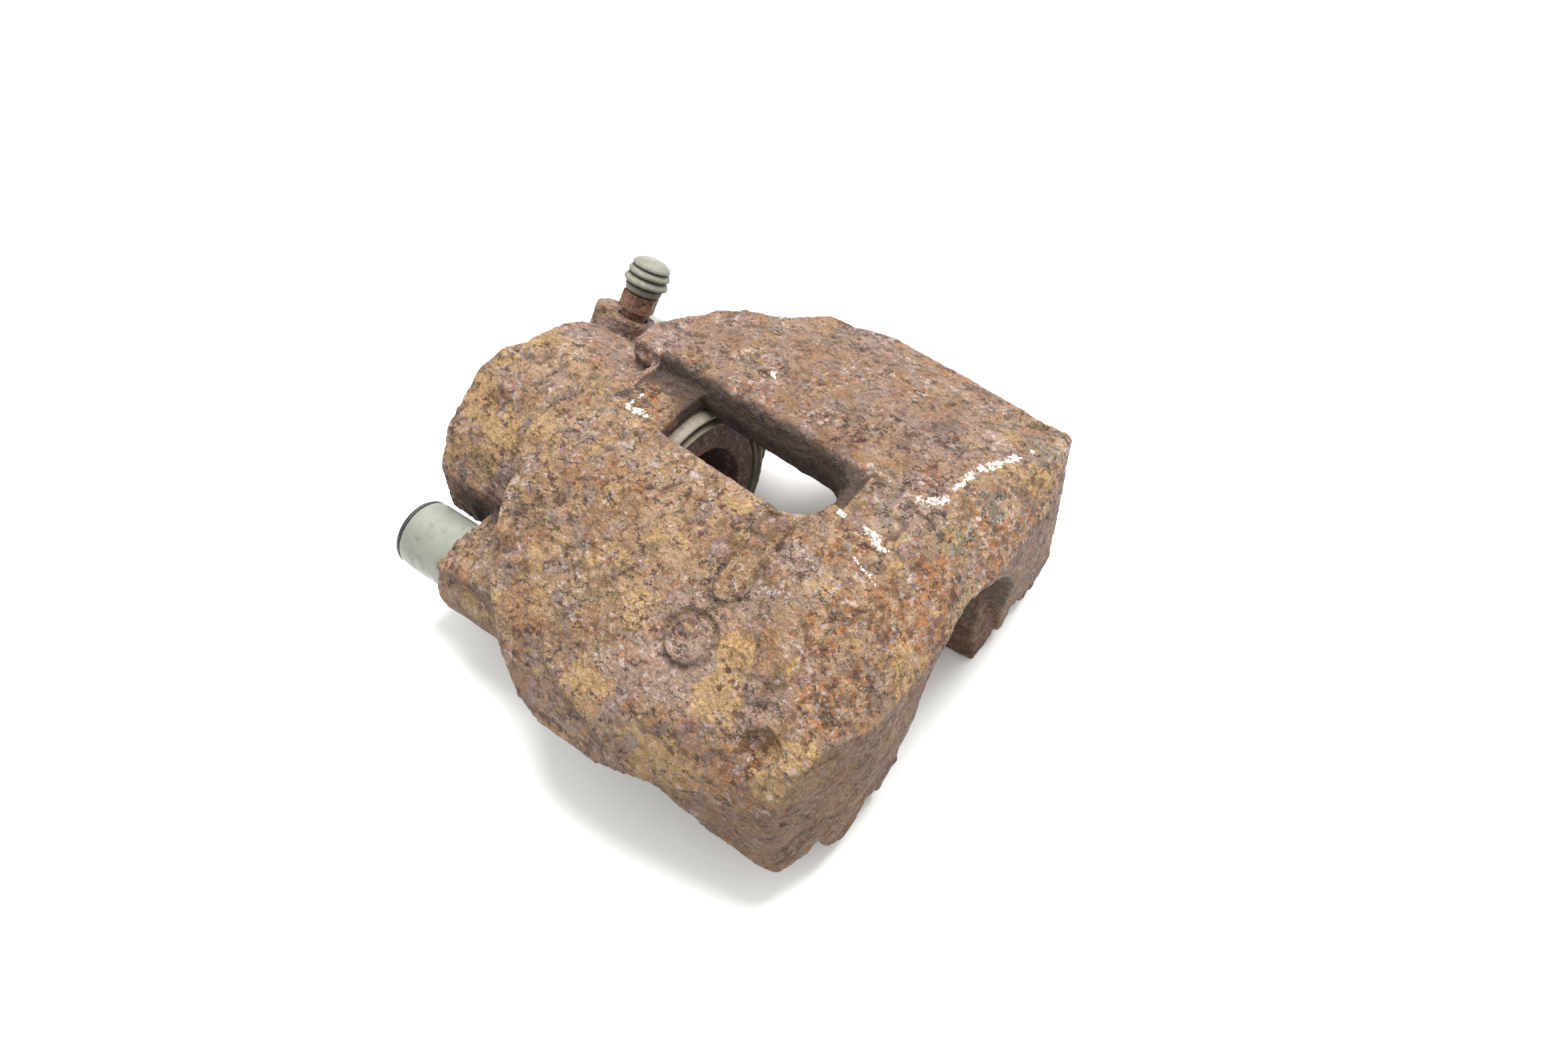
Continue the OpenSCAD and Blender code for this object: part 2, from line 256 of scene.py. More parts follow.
def weather(obj, amount, size=2.2, seed=3, keep=None):
    """Roughens a piece's mesh with rust lumps and pits by amount, in millimetres.

    keep(points) is 0 where the piece stays smooth and 1 where it is rough.
    """
    mesh = obj.data
    p = positions(mesh) / MM
    rough = 0.6 * layered(p, size * 2, seed) + 0.4 * noise(p, size, seed + 9)
    rough -= 0.8 * step(0.35, 0.8, noise(p, size * 1.5, seed + 20))
    push = rough * amount * (1 if keep is None else keep(p))
    set_positions(mesh, (p + normals(mesh) * push[:, None]) * MM)


# ---------------------------------------------------------------- materials

def rgb(red, green, blue):
    """A colour from its everyday 0 to 255 values, as the linear one a shader wants."""
    def linear(value):
        v = value / 255
        return v / 12.92 if v <= 0.04045 else ((v + 0.055) / 1.055) ** 2.4
    return (linear(red), linear(green), linear(blue), 1)


class Shader:
    """A material's node tree, built a layer at a time over object coordinates in millimetres."""

    def __init__(self, name, roughness=0.8, metallic=0.0):
        self.material = bpy.data.materials.new(name)
        self.material.use_nodes = True
        self.tree = self.material.node_tree
        self.surface = self.tree.nodes["Principled BSDF"]
        self.surface.inputs["Roughness"].default_value = roughness
        self.surface.inputs["Metallic"].default_value = metallic
        place = self.add("ShaderNodeTexCoord").outputs["Object"]
        self.coords = self.mapped(place, (1 / MM,) * 3)
        self.colour = None

    def add(self, kind, **settings):
        node = self.tree.nodes.new(kind)
        for key, value in settings.items():
            setattr(node, key, value)
        return node

    def join(self, source, target):
        self.tree.links.new(source, target)

    def mapped(self, source, scale, turn=(0, 0, 0)):
        node = self.add("ShaderNodeMapping")
        node.inputs["Scale"].default_value = scale
        node.inputs["Rotation"].default_value = turn
        self.join(source, node.inputs["Vector"])
        return node.outputs["Vector"]

    def spots(self, size, low, high, detail=3.0, stretch=(1, 1, 1), turn=(0, 0, 0), shift=0.0,
              straight=False):
        """A 0 to 1 mask of cloudy spots about size millimetres across, rising between low and high.

        straight gives the noise itself, before the rise.
        """
        node = self.add("ShaderNodeTexNoise", noise_dimensions="4D")
        node.inputs["Scale"].default_value = 1 / size
        node.inputs["Detail"].default_value = detail
        node.inputs["Roughness"].default_value = 0.6
        node.inputs["W"].default_value = shift
        self.join(self.mapped(self.coords, stretch, turn), node.inputs["Vector"])
        return node.outputs["Fac"] if straight else self.ramp(node.outputs["Fac"], low, high)

    def grown(self, name, gain, size, at, detail=6.0, shift=0.0, soft=0.05):
        """Ragged spots that spread where the painted mask is high.

        The mask lowers the level that the noise has to reach.
        """
        field = self.spots(size, 0, 1, detail, shift=shift, straight=True)
        return self.ramp(self.calc("ADD", field, self.both(self.painted(name), gain)), at, at + soft)

    def lines(self, size, at, width, detail=4.0, stretch=(1, 1, 1), turn=(0, 0, 0), shift=0.0):
        """A mask of thin ragged lines, where painted shade lies along flake edges."""
        field = self.spots(size, 0, 1, detail, stretch, turn, shift, straight=True)
        away = self.calc("ABSOLUTE", self.calc("SUBTRACT", field, at), 0)
        return self.ramp(away, width, width * 0.25)

    def ramp(self, source, low, high):
        node = self.add("ShaderNodeMapRange", interpolation_type="SMOOTHSTEP")
        if low > high:
            node.inputs["From Min"].default_value, node.inputs["From Max"].default_value = high, low
            node.inputs["To Min"].default_value, node.inputs["To Max"].default_value = 1, 0
        else:
            node.inputs["From Min"].default_value, node.inputs["From Max"].default_value = low, high
        self.join(source, node.inputs["Value"])
        return node.outputs["Result"]

    def painted(self, name):
        """A mask stored on the mesh by paint()."""
        return self.add("ShaderNodeAttribute", attribute_name=name).outputs["Fac"]

    def calc(self, operation, a, b):
        node = self.add("ShaderNodeMath", operation=operation)
        for socket, value in zip(node.inputs, (a, b)):
            if isinstance(value, (int, float)):
                socket.default_value = value
            else:
                self.join(value, socket)
        return node.outputs["Value"]

    def both(self, a, b):
        return self.calc("MULTIPLY", a, b)

    def base(self, colour):
        node = self.add("ShaderNodeRGB")
        node.outputs[0].default_value = colour
        self.colour = node.outputs[0]

    def layer(self, colour, mask, strength=1.0):
        """Lays a colour over what is there, where mask is 1."""
        node = self.add("ShaderNodeMix", data_type="RGBA", blend_type="MIX")
        factor = self.both(mask, strength) if strength != 1.0 else mask
        self.join(factor, node.inputs["Factor"])
        self.join(self.colour, node.inputs["A"])
        node.inputs["B"].default_value = colour
        self.colour = node.outputs["Result"]

    def roughness(self, mask, low, high):
        node = self.add("ShaderNodeMapRange")
        node.inputs["To Min"].default_value, node.inputs["To Max"].default_value = low, high
        self.join(mask, node.inputs["Value"])
        self.join(node.outputs["Result"], self.surface.inputs["Roughness"])

    def bumps(self, *heights):
        """Raises the surface by (mask, millimetres) pairs, added up."""
        total = None
        for mask, amount in heights:
            part = self.both(mask, amount)
            total = part if total is None else self.calc("ADD", total, part)
        node = self.add("ShaderNodeBump")
        node.inputs["Distance"].default_value = MM
        node.inputs["Strength"].default_value = 1.0
        self.join(total, node.inputs["Height"])
        self.join(node.outputs["Normal"], self.surface.inputs["Normal"])

    def done(self):
        self.join(self.colour, self.surface.inputs["Base Color"])
        return self.material


def rusted_casting():
    """Old cast iron: tan scale, ochre mud, purple and lilac crust whose specks also stand in for painted glints,
    red and orange specks, grime and painted shade in hollows, painted shade on steep faces and along flake
    edges.
    """
    s = Shader("rusted_casting", roughness=0.8)
    s.surface.inputs["Specular IOR Level"].default_value = 0.35
    clean = s.calc("SUBTRACT", 1.0, s.both(s.painted("dusk"), 0.75))
    mud = s.both(s.grown("ochre", 0.16, 11, 0.555, 10, 2.0, 0.05), clean)
    scale = s.spots(6, 0.54, 0.58, 8, shift=5.0)

    # the broad zones of the crust
    s.base(rgb(152, 125, 95))
    s.layer(rgb(118, 92, 78), s.painted("dusk"), 0.7)
    s.layer(rgb(122, 94, 66), s.spots(13, 0.42, 0.60, 8), 0.75)
    s.layer(rgb(142, 119, 112), s.spots(24, 0.46, 0.58, 6, shift=51.0), 0.55)
    s.layer(rgb(136, 90, 50), s.spots(17, 0.52, 0.62, 8, shift=53.0), 0.5)
    s.layer(rgb(128, 80, 44), s.spots(4.5, 0.54, 0.62, 8, shift=4.0), 0.5)
    s.layer(rgb(124, 105, 97), scale, 0.7)
    s.layer(rgb(170, 137, 88), mud, 0.7)

    # red, orange and grey rust
    red_near = s.spots(15, 0.42, 0.56, 3, shift=12.0)
    s.layer(rgb(72, 34, 20), s.both(s.spots(2.4, 0.55, 0.60, 8, shift=11.0), red_near), 0.8)
    s.layer(rgb(156, 100, 48), s.grown("orange", 0.12, 2.1, 0.62, 8, 14.0), 0.7)
    s.layer(rgb(94, 56, 34), s.grown("orange", 0.11, 2.6, 0.61, 8, 24.0), 0.7)
    s.layer(rgb(104, 101, 86), s.grown("grey", 0.22, 3.0, 0.66, 8, 29.0, 0.08), 0.75)

    # lilac and pale specks of crust, which also stand in for painted glints, then dark ones
    lilac_near = s.spots(11, 0.44, 0.60, 3, shift=9.0)
    s.layer(rgb(174, 158, 150), s.both(s.spots(2.0, 0.52, 0.60, 8, shift=8.0), lilac_near), 0.8)
    pale_near = s.spots(9, 0.44, 0.60, 3, shift=16.0)
    s.layer(rgb(192, 178, 170), s.both(s.spots(0.9, 0.57, 0.64, 6, shift=17.0), pale_near), 0.5)
    dark_near = s.spots(5, 0.45, 0.60, 3, shift=20.0)
    s.layer(rgb(48, 30, 24), s.both(s.spots(1.2, 0.57, 0.63, 8, shift=18.0), dark_near), 0.8)

    # what lies in the shape itself: painted shade on steep faces, dark pits, grime and painted shade in
    # sheltered hollows, painted shade along flake edges
    s.layer(rgb(92, 60, 36), s.both(s.painted("steep_shade"), clean), 0.6)
    s.layer(rgb(50, 35, 28), s.painted("pits_and_shade"), 0.6)
    # sheltered grime mixed with painted shade in the hollows
    s.layer(rgb(34, 25, 21), s.painted("grime_and_shade"), 0.92)
    # painted shade lines along the flake edges
    torn_near = s.spots(4, 0.48, 0.54, 3, shift=33.0)
    edges = s.both(s.lines(6, 0.5, 0.014, 8, (1, 0.55, 1), (0, 0, 0.5), 31.0), torn_near)
    s.layer(rgb(30, 20, 17), edges, 0.85)

    # wear: chalk scuffs, and the tool marks on machined faces
    s.layer(rgb(238, 232, 220), s.grown("scuff", 0.36, 1.1, 0.80, 8, 37.0, 0.03))
    tooled = s.both(s.painted("machined"), s.spots(5, 0.30, 0.62, 4, (1, 0.25, 1), shift=41.0))
    s.layer(rgb(112, 102, 92), tooled, 0.8)
    grain = s.spots(1.6, 0.30, 0.70, 10, shift=43.0)
    s.layer(rgb(70, 50, 38), s.spots(0.7, 0.55, 0.44, 6, shift=45.0), 0.3)
    s.roughness(grain, 0.92, 0.5)
    crust = s.spots(4, 0.42, 0.58, 8, shift=47.0)
    s.bumps((grain, 0.85), (crust, 0.6), (scale, 0.35), (edges, -0.4), (mud, 0.25))
    return s.done()


def rusted_steel(name, tone=(92, 68, 54)):
    """Turned steel gone brown, with grey metal and orange spots showing through."""
    s = Shader(name, roughness=0.7, metallic=0.15)
    s.base(rgb(*tone))
    s.layer(rgb(66, 44, 36), s.spots(2.5, 0.46, 0.60, 6), 0.8)
    s.layer(rgb(116, 98, 94), s.spots(1.8, 0.54, 0.62, 6, shift=3.0), 0.8)
    s.layer(rgb(150, 84, 40), s.spots(1.3, 0.58, 0.66, 5, shift=6.0), 0.8)
    s.layer(rgb(34, 24, 21), s.spots(1.1, 0.57, 0.64, 5, shift=9.0), 0.75)
    grain = s.spots(0.6, 0.25, 0.75, 4, shift=12.0)
    s.roughness(grain, 0.55, 0.9)
    s.bumps((grain, 0.18), (s.spots(1.6, 0.3, 0.7, 3, shift=15.0), 0.25))
    return s.done()


def ground_steel(name):
    """Ground steel under a film of brown grease."""
    s = Shader(name, roughness=0.35, metallic=0.85)
    s.base(rgb(150, 148, 142))
    s.layer(rgb(112, 100, 84), s.spots(6, 0.40, 0.66, 4), 0.8)
    s.layer(rgb(92, 66, 46), s.spots(2.2, 0.58, 0.70, 4, shift=4.0), 0.7)
    rings = s.spots(1.2, 0.3, 0.7, 3, (0.15, 6, 0.15), shift=7.0)
    s.roughness(rings, 0.28, 0.5)
    s.bumps((rings, 0.02))
    return s.done()


def old_rubber(name, tone, dust, size=2.0, shine=0.6):
    """Rubber bleached and dusty, with a faint mould grain, small scuffs and painted shade in its hollows."""
    s = Shader(name, roughness=shine)
    s.base(rgb(*tone))
    s.layer(rgb(*dust), s.spots(size * 3, 0.35, 0.68, 5), 0.7)
    s.layer(rgb(*(int(c * 0.72) for c in tone)), s.spots(size, 0.56, 0.72, 5, shift=3.0), 0.5)
    s.layer(rgb(94, 70, 46), s.spots(size * 0.8, 0.64, 0.72, 4, shift=6.0), 0.4)
    # painted shade in the hollows
    s.layer(rgb(26, 25, 22), s.painted("hollow_shade"), 0.85)
    grain = s.spots(0.45, 0.3, 0.7, 3, shift=9.0)
    s.roughness(s.spots(size, 0.3, 0.7, 3, shift=12.0), shine - 0.08, shine + 0.22)
    s.bumps((grain, 0.05), (s.spots(size, 0.3, 0.7, 3, shift=15.0), 0.08))
    return s.done()


def black_plastic(name):
    """Dark moulded plastic with dust and fine scratches."""
    s = Shader(name, roughness=0.5)
    s.base(rgb(30, 31, 31))
    s.layer(rgb(66, 65, 60), s.spots(3, 0.48, 0.72, 5), 0.5)
    s.layer(rgb(16, 17, 17), s.spots(1.2, 0.58, 0.70, 4, shift=3.0), 0.6)
    grain = s.spots(0.4, 0.3, 0.7, 3, shift=6.0)
    s.roughness(grain, 0.42, 0.66)
    s.bumps((grain, 0.04))
    return s.done()


def white_paper():
    s = Shader("white_paper", roughness=0.9)
    s.base(rgb(252, 252, 250))
    s.layer(rgb(244, 244, 240), s.spots(160, 0.40, 0.70, 3), 0.5)
    s.bumps((s.spots(40, 0.3, 0.7, 3), 0.05))
    return s.done()


def dress(obj, material):
    obj.data.materials.clear()
    obj.data.materials.append(material)


# ---------------------------------------------------------------- the casting

VOXEL = 0.55 * MM
SOFTEN_ROUNDS = 20
LIP_ROUNDS = 110
SHELTER_STRIDE = 14
SHELTER_REACH = 28 * MM
SHELTER_RAYS = 16

# stains, as centre and radius on the skin
OCHRE = [((33, -58, 25), 17), ((24, -62, 31), 10), ((78, 27, 22), 9), ((80, 58, 14), 13),
         ((68, 88, 26), 13), ((62, 62, 29), 8), ((54, 30, 33), 7), ((-15, 58, 41), 9),
         ((-6, -62, 35), 8), ((27, 95, 28), 10), ((50, 60, 34), 6)]
ORANGE = [((37, 76, 38), 9), ((23, 78, 40), 9), ((19, 90, 34), 16), ((48, 87, 34), 14),
          ((4, 90, 34), 12), ((13, 67, 41), 8), ((-20, 95, 22), 22), ((-50, 92, 20), 16),
          ((70, 72, 22), 9), ((0, -14, 38.7), 5)]
GREY = [((-8, 85, 38), 8), ((-25, 88, 36), 7), ((-3, 69, 42), 6), ((-52, 88, 30), 9), ((-5, 46, 42), 5)]
# a black pocket of painted shade under the block
SHADE_POCKETS = [((41, -50, 2), 10), ((42, -42, 8), 8)]
# where the cast edges stay crisp, and where they are worn round
CRISP = [((64, -31, -4), 17), ((-58, -31, -4), 17), ((-37, -58, 18), 9)]
LIPS = [((-12, 8, 38), 15), ((-12, 26, 38), 14), ((-10, 44, 38), 14), ((0, 54, 40), 9),
        ((8, 46, 40), 7), ((-17, 51, 37), 10), ((-14, -8, 36), 13)]
# raised places kept clear of the grime and painted shade
OPEN = [((-37, -58, 18), 14), ((0, -13, 39), 9), ((-34, -50, 22), 11)]
# chalky scuffs, as the two ends and the width
SCUFFS = [((14, 70, 41), (18, 80, 40), 1.6), ((5, 67, 42), (8, 76, 42), 2.0),
          ((-12, 73, 41), (-16, 79, 41), 2.4), ((-21, 78, 40), (-32, 80, 39), 1.5),
          ((-32, 80, 39), (-44, 85, 36), 2.2), ((-50, 86, 34), (-49, 91, 31), 1.1),
          ((4, 58, 42), (4, 60, 42), 1.0), ((-30, 10, 39), (-28, 12, 39), 1.2),
          ((4, -18, 39), (4, -8, 39), 1.7), ((3, -18, 39), (-2, -17, 39), 1.0)]


def evaluated(obj):
    """Applies an object's modifiers to its mesh."""
    bpy.context.view_layer.update()
    made = bpy.data.meshes.new_from_object(obj.evaluated_get(bpy.context.evaluated_depsgraph_get()))
    obj.modifiers.clear()
    obj.data = made


def edges_of(mesh):
    pairs = np.empty(len(mesh.edges) * 2, np.int32)
    mesh.edges.foreach_get("vertices", pairs)
    return pairs.reshape(-1, 2)


def relaxed(points, pairs, rounds, free):
    """Each point drawn towards the mean of its neighbours, by half its free share each round."""
    n = len(points)
    count = np.maximum(np.bincount(pairs.ravel(), minlength=n), 1)[:, None]
    for _ in range(rounds):
        total = np.stack([np.bincount(pairs[:, 0], points[pairs[:, 1], k], n)
                          + np.bincount(pairs[:, 1], points[pairs[:, 0], k], n) for k in range(3)], axis=1)
        points = points + (total / count - points) * 0.5 * free[:, None]
    return points


def between(value, low, high):
    return (value > low) & (value < high)


BLEED_AXIS = Vector(JOINTS["bleed_screw_turn"]["axis"]).normalized()
BLEED_FOOT = Vector(JOINTS["bleed_screw_turn"]["pos_m"])


def from_bleed_axis(p):
    """How far each point is from the bleed screw's axis, and how far out along it."""
    rel = p - np.array(BLEED_FOOT) / MM
    out = rel @ np.array(BLEED_AXIS)
    return np.linalg.norm(rel - out[:, None] * np.array(BLEED_AXIS), axis=1), out


def guide_x(p):
    """The place across of the guide axis on each point's own side."""
    return np.where(p[:, 0] > 0, GUIDE_X["near"], GUIDE_X["far"])


def bores(p):
    """The round cut surfaces: the distance from the axis, the radius, where it runs, and the axis's X and Z.

    The bleed hole slants, so it has no X and Z of its own.
    """
    from_bore = np.hypot(p[:, 0], p[:, 2])
    across = guide_x(p)
    from_guide = np.hypot(p[:, 0] - across, p[:, 2] - GUIDE_Z)
    from_hose = np.hypot(p[:, 0] - HOSE[0], p[:, 2] - HOSE[1])
    from_bleed, out = from_bleed_axis(p)
    y = p[:, 1]
    return [(from_bore, BORE_R + 0.1, between(y, BORE_END_Y - 1, MOUTH_Y - 7.5), (0, 0)),
            (from_bore, SEAT_R + 0.05, between(y, SEAT_Y - 0.5, MOUTH_Y + 1), (0, 0)),
            (from_guide, GUIDE_HOLE_R + 0.05, between(y, EAR_Y[0] - 1, EAR_Y[1] + 1), (across, GUIDE_Z)),
            (from_hose, HOSE_R + 0.05, between(y, *HOSE_RUN), HOSE),
            (from_bleed, BLEED_HOLE_R, between(out, *BLEED_HOLE_RUN), None)]


def machined(p):
    """1 on the faces that a cutter made, 0 on the skin as it was cast."""
    mask = np.zeros(len(p))
    for far, radius, here, _ in bores(p):
        mask[here & (far < radius + TOOLED_SKIN)] = 1
    y, z = p[:, 1], p[:, 2]
    from_bore = np.hypot(p[:, 0], z)
    mask[(from_bore < MOUTH_RING_R) & between(y, MOUTH_Y - 0.6, MOUTH_Y + 1)] = 1
    mask[(np.abs(y - FINGER_Y) < 0.5) & (z < 26)] = 1
    mask[(np.abs(from_bore - GAP_R) < 0.6) & (y > FINGER_Y - 1) & (z > -16)] = 1
    half_width, flat_start, flat_end = COLLAR_FLAT
    on_flat = (np.abs(p[:, 0]) < half_width) & between(y, flat_start, flat_end)
    mask[(np.abs(z - COLLAR_FLAT_Z) < 0.4) & on_flat] = 1
    return mask


def near_spots(p, spots):
    """A soft mask round a list of (centre, radius) stains, ragged at the edge."""
    ragged = 0.35 * layered(p, 6.0, 71)
    mask = np.zeros(len(p))
    for centre, radius in spots:
        far = np.linalg.norm(p - np.array(centre, float), axis=1) / radius
        mask = np.maximum(mask, 1 - step(0.45, 1.15, far + ragged))
    return mask


def near_strokes(p, strokes):
    """A mask along short strokes, broken up as chalk is on a rough skin."""
    mask = np.zeros(len(p))
    ragged = 0.5 * noise(p, 2.0, 73)
    for a, b, width in strokes:
        a, b = np.array(a, float), np.array(b, float)
        t = np.clip(((p - a) @ (b - a)) / ((b - a) @ (b - a)), 0, 1)
        far = np.linalg.norm(p - a - t[:, None] * (b - a), axis=1) / width
        mask = np.maximum(mask, 1 - step(0.1, 1.7, far + ragged))
    return mask


def pad(p, centre, half_across, half_along):
    """A plain cast pad: how far it moves the skin, in millimetres, and a mask of the groove round it."""
    rel = p - np.array(centre, float)
    slope = math.asin(centre[0] / BRIDGE_R)
    corner = min(half_across, half_along)
    u = np.maximum(np.abs(rel @ np.array((math.cos(slope), 0, -math.sin(slope)))) - half_across + corner, 0)
    v = np.maximum(np.abs(rel[:, 1]) - half_along + corner, 0)
    out = np.hypot(u, v) - corner
    here = np.linalg.norm(rel, axis=1) < 30
    groove = step(1.3, 0.5, np.abs(out)) * here
    return (0.5 * step(0.2, -0.8, out) - 1.0 * groove) * here, groove


def cast_details(p):
    """Small cast marks: two blank pads on the near arm, a vent stub on the block, a pip by the near corner."""
    round_push, round_groove = pad(p, (54, 46, 32.6), 7.4, 7.4)
    long_push, long_groove = pad(p, (28, 46.5, 39.5), 15, 4.6)
    push = round_push + long_push
    ring = np.linalg.norm(p - np.array((9.5, -40, 37)), axis=1)
    push += 0.7 * step(3.6, 2.6, ring) - 0.6 * step(2.0, 1.2, ring)
    push += 1.1 * step(3.0, 1.6, np.linalg.norm(p - np.array((81.5, 62, 10.5)), axis=1))
    push += 1.2 * step(5.0, 1.5, np.linalg.norm(p - np.array((17, -58, 34)), axis=1))
    push -= 1.2 * step(4.5, 1.5, np.linalg.norm(p - np.array((22, -59, 31)), axis=1))
    return push, np.maximum(round_groove, long_groove)


def rust_skin(p):
    """How far the rust raises or pits the skin, in millimetres, and a mask of the pits and of painted shade
    along the flake edges.
    """
    warp = np.stack([noise(p, 6.0, s) for s in (81, 82, 83)], axis=1)
    bent = (p + warp * 1.5) * np.array((1.0, 0.7, 1.0))
    push = 0.3 * noise(p, 24, 50) + 0.1 * noise(p, 9, 51) + 0.12 * noise(p, 4.2, 52)
    push += 0.14 * noise(p, 2.3, 53) + 0.1 * noise(p, 1.3, 54)
    dark = np.zeros(len(p))
    for size, seed, level, height in ((11, 60, 0.1, 0.24), (6, 62, 0.18, 0.2), (3.4, 64, 0.25, 0.16)):
        flake = layered(bent, size, seed, 4)
        push += height * step(level - 0.03, level + 0.06, flake)
        torn = step(-0.15, 0.25, noise(p, size * 1.3, seed + 1))
        # a band at the foot of each flake's step, where painted shade goes
        edge = step(level - 0.12, level - 0.03, flake) * step(level + 0.05, level, flake)
        dark = np.maximum(dark, torn * edge)
    pits = step(0.34, 0.62, layered(p, 3.0, 70, 2)) * step(-0.3, 0.4, noise(p, 10, 66))
    return push - 0.32 * pits, np.maximum(dark * 0.8, pits)


def valley_wall_shade(p):
    """1 on the far wall and lip of the window and valley, which are painted dark as shade."""
    rel = p[:, :2] - np.array((0, WINDOW_END - WINDOW_HW))
    skew = math.radians(VALLEY_SKEW)
    across = rel[:, 0] * math.cos(skew) - rel[:, 1] * math.sin(skew)
    beside = -across + 1.2 * noise(p, 7, 98)
    here = between(p[:, 1], -22, WINDOW_END + 6) & (p[:, 2] > 12) & (across < 2)
    return step(WINDOW_HW + 6.5, WINDOW_HW + 2, beside) * here


def sheltered(source, mesh, pairs):
    """How closed in each point is by the casting round it, 0 in the open to 1 deep inside."""
    corners = [v.co for v in source.data.vertices]
    tree = BVHTree.FromPolygons(corners, [f.vertices for f in source.data.polygons])
    fan = []
    for k in range(SHELTER_RAYS):
        up = (k + 0.5) / SHELTER_RAYS
        turn = k * math.pi * (3 - math.sqrt(5))
        side = math.sqrt(1 - up * up)
        fan.append((side * math.cos(turn), side * math.sin(turn), up))
    found = np.zeros((len(mesh.vertices), 3))
    for vertex in itertools.islice(mesh.vertices, 0, None, SHELTER_STRIDE):
        normal = vertex.normal
        u = normal.orthogonal().normalized()
        v = normal.cross(u)
        start = vertex.co + normal * 1.5 * MM
        rays = [u * a + v * b + normal * c for a, b, c in fan]
        hits = sum(tree.ray_cast(start, ray, SHELTER_REACH)[0] is not None for ray in rays)
        found[vertex.index] = (hits / SHELTER_RAYS, 1, 0)
    spread = relaxed(found, pairs, 40, np.ones(len(found)))
    return spread[:, 0] / np.maximum(spread[:, 1], 1e-9)


def casting():
    """The housing remeshed from its CAD node: softened as sand casting is, rusted, bores trued, then painted."""
    source = NODES["caliper_housing"]
    obj = bpy.data.objects.new("casting", source.data.copy())
    bpy.context.scene.collection.objects.link(obj)
    remesh = obj.modifiers.new("cast", "REMESH")
    remesh.mode, remesh.voxel_size, remesh.use_smooth_shade = "VOXEL", VOXEL, True
    evaluated(obj)
    mesh = obj.data
    pairs = edges_of(mesh)
    p = positions(mesh) / MM
    cut = machined(p)
    free = relaxed(np.stack([1 - cut] * 3, axis=1), pairs, 2, np.ones(len(p)))[:, 0] * (1 - cut)
    cad = p
    p = relaxed(cad, pairs, SOFTEN_ROUNDS, free * (1 - 0.75 * near_spots(cad, CRISP)))
    p = relaxed(p, pairs, LIP_ROUNDS, free * near_spots(p, LIPS))
    set_positions(mesh, p * MM)
    outward = normals(mesh)
    # smoothing shrinks the casting, so what it lost comes back evenly
    lost = ((cad - p) * outward).sum(axis=1) * free
    p = p + outward * relaxed(np.stack([lost] * 3, axis=1), pairs, 12, free)
    set_positions(mesh, p * MM)
    outward = normals(mesh)
    shelter = sheltered(source, mesh, pairs)
    push, pits = rust_skin(p)
    marks, grooves = cast_details(p)
    push = (push * (1 - 0.6 * np.maximum(valley_wall_shade(p), near_spots(p, CRISP))) + marks) * free
    p = p + outward * push[:, None]
    for far, radius, here, centre in bores(p):
        if centre is None:
            continue
        wall = here & (np.abs(far - radius) < TRUED)
        scale = np.where(wall, radius / np.maximum(far, 1e-6), 1)
        for k, middle in zip((0, 2), centre):
            p[:, k] = middle + (p[:, k] - middle) * scale
    p = np.clip(p, np.array(CAD_BOX[0]) / MM, np.array(CAD_BOX[1]) / MM)
    set_positions(mesh, p * MM)
    # grime mixed with painted shade: darkest where the casting closes round a point, on the window's far wall
    # and in the pocket under the block, lighter on open raised places
    grime_and_shade = np.maximum(step(0.34, 0.7, shelter + 0.12 * layered(p, 5, 96)), 0.9 * valley_wall_shade(p))
    paint(mesh, "grime_and_shade", np.maximum(grime_and_shade * (1 - 0.9 * near_spots(p, OPEN)), 0.8 * near_spots(p, SHADE_POCKETS)))
    # painted shade: faces that turn away from the light above are darkened
    paint(mesh, "steep_shade", step(0.45, 0.05, outward[:, 2] + 0.12 * noise(p, 7, 90)))
    # pits, with painted shade along the flake edges and in the pad grooves
    paint(mesh, "pits_and_shade", np.maximum(pits, 0.8 * grooves * step(-0.5, 0.1, noise(p, 3, 97))))
    paint(mesh, "dusk", step(-2, -16, p[:, 0] + 3 * noise(p, 9, 99)) * step(84, 66, p[:, 1]))
    paint(mesh, "ochre", near_spots(p, OCHRE))
    paint(mesh, "orange", near_spots(p, ORANGE))
    paint(mesh, "grey", near_spots(p, GREY))
    paint(mesh, "scuff", near_strokes(p, SCUFFS))
    paint(mesh, "machined", cut * (p[:, 2] < 30))
    dress(obj, rusted_casting())
    return obj


# ---------------------------------------------------------------- turned and moulded pieces

BORE_AXIS = along((0, 0, 0), (0, 1, 0))
BLEED_PLACE = along(BLEED_FOOT, BLEED_AXIS)


def guide_axis(side):
    return along((GUIDE_X[side] * MM, 0, GUIDE_Z * MM), (0, 1, 0))


def hexagon(across_flats, angle):
    """The radius of a hexagon at an angle."""
    part = (angle + math.pi / 6) % (math.pi / 3) - math.pi / 6
    return across_flats / 2 / math.cos(part)


def thread(major, pitch, depth):
    """The radius of a thread at a height and angle."""
    def radius(height, angle):
        phase = (height / pitch - angle / (2 * math.pi)) % 1
        return major - depth * min(1, max(0, 1.6 * abs(2 * phase - 1) - 0.3))
    return radius


def piece(name, obj, material, body, slot, *replaced):
    obj.name = obj.data.name = name
    dress(obj, material)
    if isinstance(body, str):
        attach(obj, body)
    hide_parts(*replaced)
    return obj


